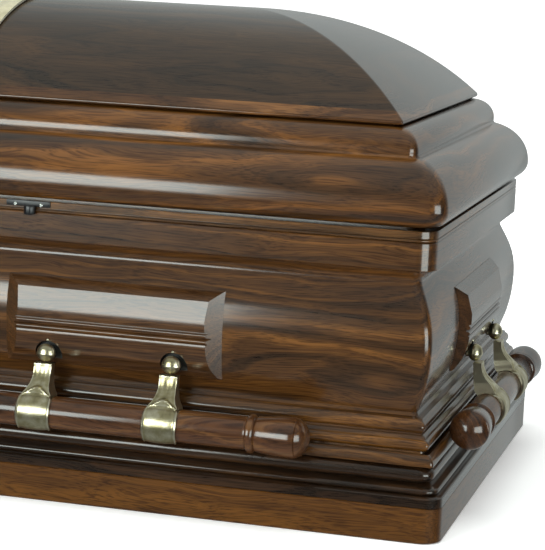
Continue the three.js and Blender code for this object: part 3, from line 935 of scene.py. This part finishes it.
# The lugs and arms are die castings in antique brass: plated, blackened, and rubbed back bright on
# their high parts. A lug is a dome with a low lip, on a stem, with the pin's head showing above it.
def antique_brass(name):
    """Plated brass with black left in its hollows: pointiness is read as wear on the high edges."""
    material, tree, output = blank_material(name)
    place = add_node(tree, "ShaderNodeTexCoord")
    shape = add_node(tree, "ShaderNodeNewGeometry")
    patina_mm = 14
    patina = add_node(
        tree,
        "ShaderNodeTexNoise",
        {},
        {"Scale": 1 / (patina_mm * MM), "Detail": 4, "Roughness": 0.6},
        {"Vector": place.outputs["Object"]},
    )
    worn = add_node(
        tree,
        "ShaderNodeMapRange",
        {},
        {"From Min": 0.44, "From Max": 0.56, "To Min": -0.25, "To Max": 0.35},
        {"Value": shape.outputs["Pointiness"]},
    )
    mixed = add_node(
        tree,
        "ShaderNodeMath",
        {"operation": "ADD"},
        {},
        {0: patina.outputs["Fac"], 1: worn.outputs[0]},
    )
    tint = add_node(tree, "ShaderNodeValToRGB", {}, {}, {"Fac": mixed.outputs[0]})
    stops = tint.color_ramp.elements
    stops[0].position, stops[0].color = 0.15, linear("#6b6343")
    stops[1].position, stops[1].color = 0.8, linear("#e2dbc0")
    brass_stop = stops.new(0.5)
    brass_stop.color = linear("#b9ae88")
    surface = add_node(
        tree,
        "ShaderNodeBsdfPrincipled",
        {},
        {"Metallic": 1.0, "Roughness": 0.31},
        {"Base Color": tint.outputs[0]},
    )
    tree.links.new(surface.outputs[0], output.inputs["Surface"])
    return material


brass = antique_brass("antique_brass")
LUG_CENTRE = (-12.4, 187)
LUG_HALF_HEIGHT = 11.4
LUG_UNDERSIDE = 176.2
deselect_all()
bpy.ops.mesh.primitive_uv_sphere_add(segments=40, ring_count=28, radius=1)
lug = bpy.context.object
lug.scale = (12.6 * MM, 10.2 * MM, LUG_HALF_HEIGHT * MM)
lug.location = (0, -LUG_CENTRE[0] * MM, LUG_CENTRE[1] * MM)
bpy.ops.object.transform_apply(location=True, rotation=True, scale=True)
for vertex in lug.data.vertices:
    level = (vertex.co.z / MM - LUG_CENTRE[1]) / LUG_HALF_HEIGHT
    lip = 0.94 + 0.06 * math.exp(-(((level + 0.1) / 0.16) ** 2))
    vertex.co.x *= lip
    vertex.co.y = -LUG_CENTRE[0] * MM + (vertex.co.y + LUG_CENTRE[0] * MM) * lip
    vertex.co.z = max(vertex.co.z, LUG_UNDERSIDE * MM)
bpy.ops.mesh.primitive_cylinder_add(
    vertices=24,
    radius=6 * MM,
    depth=10 * MM,
    location=(0, 20.8 * MM, LUG_CENTRE[1] * MM),
    rotation=(math.pi / 2, 0, 0),
)
stem = bpy.context.object
bpy.ops.mesh.primitive_uv_sphere_add(
    segments=16, ring_count=10, radius=1.7 * MM, location=(0, 16.6 * MM, 202.6 * MM)
)
pin_head = bpy.context.object
deselect_all()
for part in (stem, pin_head, lug):
    part.select_set(True)
bpy.context.view_layer.objects.active = lug
bpy.ops.object.join()
lug.data.materials.append(brass)


# An arm is a fluted strap that hangs from the lug's pin, flares to an arched rim, and ends in a
# domed saddle round the bar's outer side, with a bead along each of its edges.
BAR_OFFSET = 10
BAR_HEIGHT = 117
SADDLE_RADIUS = 23.4
ARCH_TOP = 147
ARCH_FALL = 11
STRAP_TOP = 175
SADDLE_TOP = 141
FLUTE_DEPTH = 0.4
DOME_RISE = 1.9
ARCH_RISE = 0.9
BEAD_RISE = 1.2
CAST_WALL = 1
ARM_WIDTHS = (
    (96, 42.5),
    (117, 44),
    (133, 43.5),
    (139, 40),
    (145, 31),
    (151, 25.5),
    (160, 22.6),
    (168, 22.6),
    (176, 23.6),
)
arm_path = [
    (-1.6, STRAP_TOP),
    (-1.3, 171),
    (-0.6, 167),
    (0.8, 163),
    (2.8, 159),
    (5.4, 155.4),
    (8.8, 152),
    (12.3, 148.6),
    (15.8, 144.8),
    (18.8, SADDLE_TOP),
    *arc((BAR_OFFSET, BAR_HEIGHT), SADDLE_RADIUS, 62, -56, 30),
]


def read_off(table, key):
    """A value read off a table of (key, value) pairs, straight between them."""
    if key <= table[0][0]:
        return table[0][1]
    for (low, low_value), (high, high_value) in zip(table, table[1:]):
        if key <= high:
            return low_value + (high_value - low_value) * (key - low) / (high - low)
    return table[-1][1]


fine_path = []
for (o, z), (next_o, next_z) in zip(arm_path, arm_path[1:]):
    steps = 3 if z > 139 else 1
    fine_path += [(o + (next_o - o) * i / steps, z + (next_z - z) * i / steps) for i in range(steps)]
fine_path.append(arm_path[-1])

# The web behind the strap runs straight down to the bar, and hugs it from there on.
WEB = ((133.4, -2.8), (139, -8), (150, -10.5), (163, -11.8), (STRAP_TOP, -12.6))
WEB_BOTTOM = 134.5
HUG_RADIUS = 20.9
strap_rows = sum(1 for o, z in fine_path if z > 139)
hug = arc((BAR_OFFSET, BAR_HEIGHT), HUG_RADIUS, 128, -56, len(fine_path) - strap_rows - 1)
levels = [STRAP_TOP - (STRAP_TOP - WEB_BOTTOM) * i / strap_rows for i in range(strap_rows)]
web_path = [(read_off(WEB, level), level) for level in levels] + hug
arm = draw_run("arm", fine_path, lambda offset, height: read_off(ARM_WIDTHS, height) / 2, cuts=27)
rows = []
for vertex in arm.data.vertices:
    x, offset, height = vertex.co.x / MM, -vertex.co.y / MM, vertex.co.z / MM
    reach = [math.hypot(offset - o, height - z) for o, z in fine_path]
    rows.append(reach.index(min(reach)))
    across = abs(x) / (read_off(ARM_WIDTHS, height) / 2)
    arch = ARCH_TOP - ARCH_FALL * across**2
    above = min(1, max(0, (height - arch) / 2.5))
    fade = above * min(1, (STRAP_TOP + 1 - height) / 8)
    flutes = -FLUTE_DEPTH * math.cos(2 * math.pi * across) * fade
    dome = DOME_RISE * (1 - across**2) * (1 - above)
    arch_rim = ARCH_RISE * math.exp(-(((height - arch) / 1.1) ** 2)) if offset > 5 else 0
    bead = BEAD_RISE * math.exp(-(((across - 0.94) / 0.06) ** 2)) * (1 - above)
    lift = flutes + dome + arch_rim + bead
    on_saddle = height < SADDLE_TOP
    round_bar = math.atan2(height - BAR_HEIGHT, offset - BAR_OFFSET)
    slope = round_bar if on_saddle else math.radians(35)
    vertex.co.y -= lift * MM * math.cos(slope)
    vertex.co.z += lift * MM * math.sin(slope)
wall = arm.modifiers.new("cast_thickness", "SOLIDIFY")
wall.thickness = CAST_WALL * MM
wall.offset = -1
apply_modifiers(arm)
for row, vertex in zip(rows, arm.data.vertices[len(rows) :]):
    vertex.co.y, vertex.co.z = -web_path[row][0] * MM, web_path[row][1] * MM
close_ends(arm)
arm.data.materials.append(brass)

for side_name, turn, reach, blocks in SIDES:
    for i, x in enumerate(arm_places(blocks)):
        node = f"{side_name}_lug_{i + 1}"
        place_piece(carry_copy(lug, f"{node}_cast", turn, reach, x), "casket", "brass", node)
        node = f"{side_name}_arm_{i + 1}"
        place_piece(
            carry_copy(arm, f"{node}_cast", turn, reach, x), f"{side_name}_handle", "brass", node
        )
bpy.data.objects.remove(lug)
bpy.data.objects.remove(arm)


# The bars are turned on a lathe from reddish-stained walnut: plain between the arms, then a bead, a
# flared sleeve and a domed end.
BAR_LOOK = {
    "hexes": ("#2a180b", "#482a14", "#62401f"),
    "ring_mm": 6,
    "heart": (70, 100),
    "roughness": 0.34,
}
BAR_RADIUS = 20.5
BAR_TIP = (
    (0, 0.02),
    (0.6, 5),
    (2.2, 10.5),
    (4.8, 15.6),
    (8.4, 20),
    (12.2, 23),
    (14.2, 24.1),
    (15, 23.4),
    (15.8, 24.4),
    (18, 25.2),
    (22, 25.5),
    (32, 25.1),
    (44, 23.9),
    (56, 22.7),
    (64, 22.1),
    (65.4, 21.4),
    (66.2, 20.4),
    (67, 21.4),
    (68.4, 23),
    (70.6, 23.9),
    (73, 24),
    (75.2, 23.3),
    (76.8, 21.6),
    (77.6, 20.2),
    (79, 20),
    (81, BAR_RADIUS),
)


def turned_bar(name, half_length):
    """A bar on the lathe: a circle drawn on from one domed end to the other."""
    left = [(d - half_length, r) for d, r in BAR_TIP]
    rows = [(x * MM, r * MM) for x, r in left + [(-x, r) for x, r in reversed(left)]]
    deselect_all()
    bpy.ops.mesh.primitive_circle_add(vertices=48, radius=1, rotation=(0, math.pi / 2, 0))
    piece = bpy.context.object
    piece.name = name
    bpy.ops.object.transform_apply(location=True, rotation=True, scale=True)
    centre = (0, -BAR_OFFSET * MM, BAR_HEIGHT * MM)
    bpy.ops.object.mode_set(mode="EDIT")
    bpy.ops.mesh.select_all(action="SELECT")
    x, radius = rows[0]
    bpy.ops.transform.resize(value=(1, radius, radius), center_override=(0, 0, 0))
    bpy.ops.transform.translate(value=(x, centre[1], centre[2]))
    for (x, radius), (next_x, next_radius) in zip(rows, rows[1:]):
        bpy.ops.mesh.extrude_edges_move(TRANSFORM_OT_translate={"value": (next_x - x, 0, 0)})
        stretch = next_radius / radius
        bpy.ops.transform.resize(value=(1, stretch, stretch), center_override=centre)
    bpy.ops.mesh.select_all(action="SELECT")
    bpy.ops.mesh.remove_doubles(threshold=2e-5)
    bpy.ops.mesh.normals_make_consistent(inside=False)
    bpy.ops.object.mode_set(mode="OBJECT")
    return piece


SIDE_TIP_REACH = 185
END_TIP_REACH = 168
for side_name, turn, reach, blocks in SIDES:
    tip_reach = SIDE_TIP_REACH if len(blocks) > 1 else END_TIP_REACH
    pattern = turned_bar("bar", arm_places(blocks)[-1] + tip_reach)
    bar = carry_copy(pattern, f"{side_name}_bar_turned", turn, reach, 0)
    bpy.data.objects.remove(pattern)
    along = "x" if reach == WIDTH / 2 else "y"
    found = bpy.data.materials.get(f"bar_walnut_{along}")
    bar.data.materials.append(found or lacquered_walnut("bar_walnut", along, **BAR_LOOK))
    place_piece(bar, f"{side_name}_handle", "bar_wood", f"{side_name}_bar")


# A catch is a black lacquered steel plate let into the rim's front edge on two screws, with a
# faceted turn button on its lower edge.
CATCH_X = 505
CATCH_LENGTH = 58
CATCH_HEIGHT = 7.5
PLATE_FACE = 333
SCREW_SPACING = 34
BUTTON_SHIFT = 4
BUTTON_HEIGHT = 363.4
BUTTON_RADIUS = 7.6


def black_enamel(name):
    """Stoved black lacquer on steel: smooth, a little dull, with dust in it."""
    material, tree, output = blank_material(name)
    place = add_node(tree, "ShaderNodeTexCoord")
    dust_mm = 3
    dust = add_node(
        tree,
        "ShaderNodeTexNoise",
        {},
        {"Scale": 1 / (dust_mm * MM), "Detail": 3},
        {"Vector": place.outputs["Object"]},
    )
    dull = add_node(
        tree,
        "ShaderNodeMapRange",
        {},
        {"To Min": 0.25, "To Max": 0.42},
        {"Value": dust.outputs["Fac"]},
    )
    surface = add_node(
        tree,
        "ShaderNodeBsdfPrincipled",
        {},
        {"Base Color": linear("#101114")},
        {"Roughness": dull.outputs[0]},
    )
    tree.links.new(surface.outputs[0], output.inputs["Surface"])
    return material


def rounded_box(name, low, high, radius, segments=3):
    """A block of metal with its edges broken, between two corners in millimetres."""
    deselect_all()
    middle = [(a + b) / 2 * MM for a, b in zip(low, high)]
    bpy.ops.mesh.primitive_cube_add(size=1, location=middle)
    piece = bpy.context.object
    piece.name = name
    piece.scale = [(b - a) * MM for a, b in zip(low, high)]
    bpy.ops.object.transform_apply(location=True, rotation=True, scale=True)
    bpy.ops.object.mode_set(mode="EDIT")
    bpy.ops.mesh.select_all(action="SELECT")
    bpy.ops.mesh.bevel(offset=radius * MM, segments=segments)
    bpy.ops.object.mode_set(mode="OBJECT")
    return piece


def screw_head(place, radius, face_turn):
    """A domed screw head with a cross slot, its face turned from straight up to where it looks."""
    deselect_all()
    bpy.ops.mesh.primitive_uv_sphere_add(segments=20, ring_count=10, radius=radius * MM)
    head = bpy.context.object
    head.scale = (1, 1, 0.45)
    bpy.ops.object.transform_apply(location=True, rotation=True, scale=True)
    for vertex in head.data.vertices:
        x, y = abs(vertex.co.x) / MM, abs(vertex.co.y) / MM
        if vertex.co.z > 0 and min(x, y) < radius * 0.16 and max(x, y) < radius * 0.6:
            vertex.co.z -= 0.25 * radius * MM
    head.rotation_euler = face_turn
    head.location = [c * MM for c in place]
    bpy.ops.object.transform_apply(location=True, rotation=True, scale=True)
    return head


def join_parts(main, parts):
    deselect_all()
    for part in parts:
        part.select_set(True)
    main.select_set(True)
    bpy.context.view_layer.objects.active = main
    bpy.ops.object.join()
    return main


enamel = black_enamel("black_enamel")
bright_steel, tree, output = blank_material("bright_zinced_steel")
place = add_node(tree, "ShaderNodeTexCoord")
turning = add_node(tree, "ShaderNodeTexNoise", {}, {"Scale": 900}, {"Vector": place.outputs["Object"]})
sheen_spread = add_node(
    tree, "ShaderNodeMapRange", {}, {"To Min": 0.18, "To Max": 0.34}, {"Value": turning.outputs["Fac"]}
)
zinced = add_node(
    tree,
    "ShaderNodeBsdfPrincipled",
    {},
    {"Base Color": linear("#d4d6d2"), "Metallic": 1.0},
    {"Roughness": sheen_spread.outputs[0]},
)
tree.links.new(zinced.outputs[0], output.inputs["Surface"])
for lid, x in (("foot", CATCH_X), ("head", -CATCH_X)):
    plate = rounded_box(
        f"{lid}_catch_plate",
        (x - CATCH_LENGTH / 2, -PLATE_FACE, RIM_TOP - CATCH_HEIGHT),
        (x + CATCH_LENGTH / 2, -PLATE_FACE + 6, RIM_TOP - 0.1),
        0.7,
    )
    to_front = (math.pi / 2, 0, 0)
    heads = [
        screw_head((x + step, -PLATE_FACE, RIM_TOP - CATCH_HEIGHT + 2.6), 2.4, to_front)
        for step in (-SCREW_SPACING / 2, SCREW_SPACING / 2)
    ]
    deselect_all()
    bpy.ops.mesh.primitive_cylinder_add(
        vertices=8,
        radius=BUTTON_RADIUS * MM,
        depth=11 * MM,
        location=((x + BUTTON_SHIFT) * MM, -(PLATE_FACE + 4.4) * MM, BUTTON_HEIGHT * MM),
        rotation=(0, 0, math.pi / 8),
    )
    button = bpy.context.object
    bpy.ops.object.transform_apply(location=True, rotation=True, scale=True)
    bpy.ops.object.mode_set(mode="EDIT")
    bpy.ops.mesh.select_all(action="SELECT")
    bpy.ops.mesh.bevel(offset=1.2 * MM, segments=2)
    bpy.ops.object.mode_set(mode="OBJECT")
    plate.data.materials.append(enamel)
    button.data.materials.append(enamel)
    for head in heads:
        head.data.materials.append(bright_steel)
    join_parts(plate, [*heads, button])
    place_piece(plate, "casket", "black_metal", f"{lid}_catch")


# The lids turn on long piano hinges of brassed steel along the back seam: a rolled knuckle that is
# cut every few centimetres, on a leaf that is screwed to the frieze.
HINGE_FROM = 60
HINGE_TO = 960
HINGE_Y = 335.5
HINGE_HEIGHT = 376.5
KNUCKLE_RADIUS = 3.4
KNUCKLE_LENGTH = 60
for lid, start in (("foot", HINGE_FROM), ("head", -HINGE_TO)):
    leaf = rounded_box(
        f"{lid}_hinge_leaf",
        (start + 1, 332, HINGE_HEIGHT - 24),
        (start + HINGE_TO - HINGE_FROM - 1, 333.4, HINGE_HEIGHT - 0.6),
        0.4,
        2,
    )
    parts = []
    for i in range((HINGE_TO - HINGE_FROM) // KNUCKLE_LENGTH):
        middle = start + (i + 0.5) * KNUCKLE_LENGTH
        deselect_all()
        bpy.ops.mesh.primitive_cylinder_add(
            vertices=20,
            radius=KNUCKLE_RADIUS * MM,
            depth=(KNUCKLE_LENGTH - 0.8) * MM,
            location=(middle * MM, HINGE_Y * MM, HINGE_HEIGHT * MM),
            rotation=(0, math.pi / 2, 0),
        )
        knuckle = bpy.context.object
        bpy.ops.object.transform_apply(location=True, rotation=True, scale=True)
        bpy.ops.object.mode_set(mode="EDIT")
        bpy.ops.mesh.select_all(action="SELECT")
        bpy.ops.mesh.bevel(offset=0.35 * MM, segments=2, affect="EDGES")
        bpy.ops.object.mode_set(mode="OBJECT")
        parts.append(knuckle)
        to_back = (-math.pi / 2, 0, 0)
        parts.append(screw_head((middle, 333.3, HINGE_HEIGHT - 14), 3.2, to_back))
    join_parts(leaf, parts)
    leaf.data.materials.append(brass)
    place_piece(leaf, "casket", "brass", f"{lid}_hinge")


# The throw is a cream cotton velvet, cut with rounded corners and hemmed, and laid over the middle
# end of the foot lid. Its weight holds it down on the crown, with a few soft folds.
THROW_FROM = 5
THROW_TO = 392
THROW_HALF = 236
THROW_LIFT = 1.2
THROW_THICKNESS = 3.4
THROW_CORNER = 70


def cotton_velvet(name):
    """Cream velvet: a dense short pile that is pale at grazing angles, with mottled, brushed nap."""
    material, tree, output = blank_material(name)
    place = add_node(tree, "ShaderNodeTexCoord")
    nap_mm = 26
    nap = add_node(
        tree,
        "ShaderNodeTexNoise",
        {},
        {"Scale": 1 / (nap_mm * MM), "Detail": 3, "Roughness": 0.6},
        {"Vector": place.outputs["Object"]},
    )
    pile_mm = 1.4
    pile = add_node(
        tree,
        "ShaderNodeTexNoise",
        {},
        {"Scale": 1 / (pile_mm * MM), "Detail": 2, "Roughness": 0.7},
        {"Vector": place.outputs["Object"]},
    )
    tint = add_node(tree, "ShaderNodeValToRGB", {}, {}, {"Fac": nap.outputs["Fac"]})
    tint.color_ramp.elements[0].position = 0.35
    tint.color_ramp.elements[0].color = linear("#8d8265")
    tint.color_ramp.elements[1].position = 0.7
    tint.color_ramp.elements[1].color = linear("#b5a98a")
    fibres = add_node(
        tree,
        "ShaderNodeBump",
        {},
        {"Strength": 0.5, "Distance": 0.0006},
        {"Height": pile.outputs["Fac"]},
    )
    surface = add_node(
        tree,
        "ShaderNodeBsdfPrincipled",
        {},
        {"Roughness": 0.95, "Sheen Weight": 0.6, "Sheen Roughness": 0.4},
        {"Base Color": tint.outputs[0], "Normal": fibres.outputs[0]},
    )
    tree.links.new(surface.outputs[0], output.inputs["Surface"])
    return material


deselect_all()
bpy.ops.mesh.primitive_grid_add(x_subdivisions=110, y_subdivisions=150, size=2)
throw = bpy.context.object
throw.name = "throw_velvet"
for vertex in throw.data.vertices:
    x_share, y_share = (vertex.co.x + 1) / 2, vertex.co.y
    y = y_share * THROW_HALF
    into_corner = max(0, abs(y) - (THROW_HALF - THROW_CORNER))
    foot = THROW_TO - (THROW_CORNER - math.sqrt(THROW_CORNER**2 - into_corner**2))
    x = THROW_FROM + x_share * (foot - THROW_FROM)
    inward = min(1, (1 - x_share) * 14, (1 - abs(y_share)) * 14)
    folds = math.sin(x / 37 + 1.3 * math.sin(y / 90)) * math.sin(y / 64 + 0.8 * math.sin(x / 70))
    hem = 0.9 * math.exp(-(((inward - 0.45) / 0.3) ** 2))
    lift = THROW_LIFT + inward * (0.7 + 0.7 * folds) + hem
    angle = math.asin(y / crown_radius)
    radius = crown_radius + lift
    vertex.co = (x * MM, radius * math.sin(angle) * MM, (crown_centre + radius * math.cos(angle)) * MM)
wall = throw.modifiers.new("cloth_thickness", "SOLIDIFY")
wall.thickness = THROW_THICKNESS * MM
wall.offset = 1
apply_modifiers(throw)
throw.data.materials.append(cotton_velvet("cream_velvet"))
place_piece(throw, "foot_lid", "velvet", "throw")
